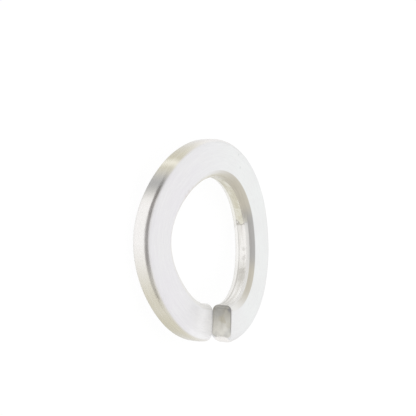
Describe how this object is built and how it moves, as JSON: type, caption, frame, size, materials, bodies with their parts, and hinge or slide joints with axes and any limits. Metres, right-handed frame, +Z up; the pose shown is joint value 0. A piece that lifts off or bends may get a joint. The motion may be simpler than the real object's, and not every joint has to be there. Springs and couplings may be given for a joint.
{
  "type": "spring lock washer",
  "caption": "Split spring lock washer for an M12 screw: rounded steel wire wound into an open ring with its cut ends offset along the axis, to spring under a screw head or nut.",
  "frame": {"origin": "on the bore axis, at the surface that the washer lies on", "axes": "+Z up along the bore axis; the split points to -Y, and the end on the +X side of the split is the raised one"},
  "size_m": [0.0204, 0.0204, 0.0049],
  "materials": {
    "steel": "bright satin, with fine drawing lines that run round the ring"
  },
  "bodies": {
    "root": {"lock_washer": "steel"}
  },
  "joints": []
}
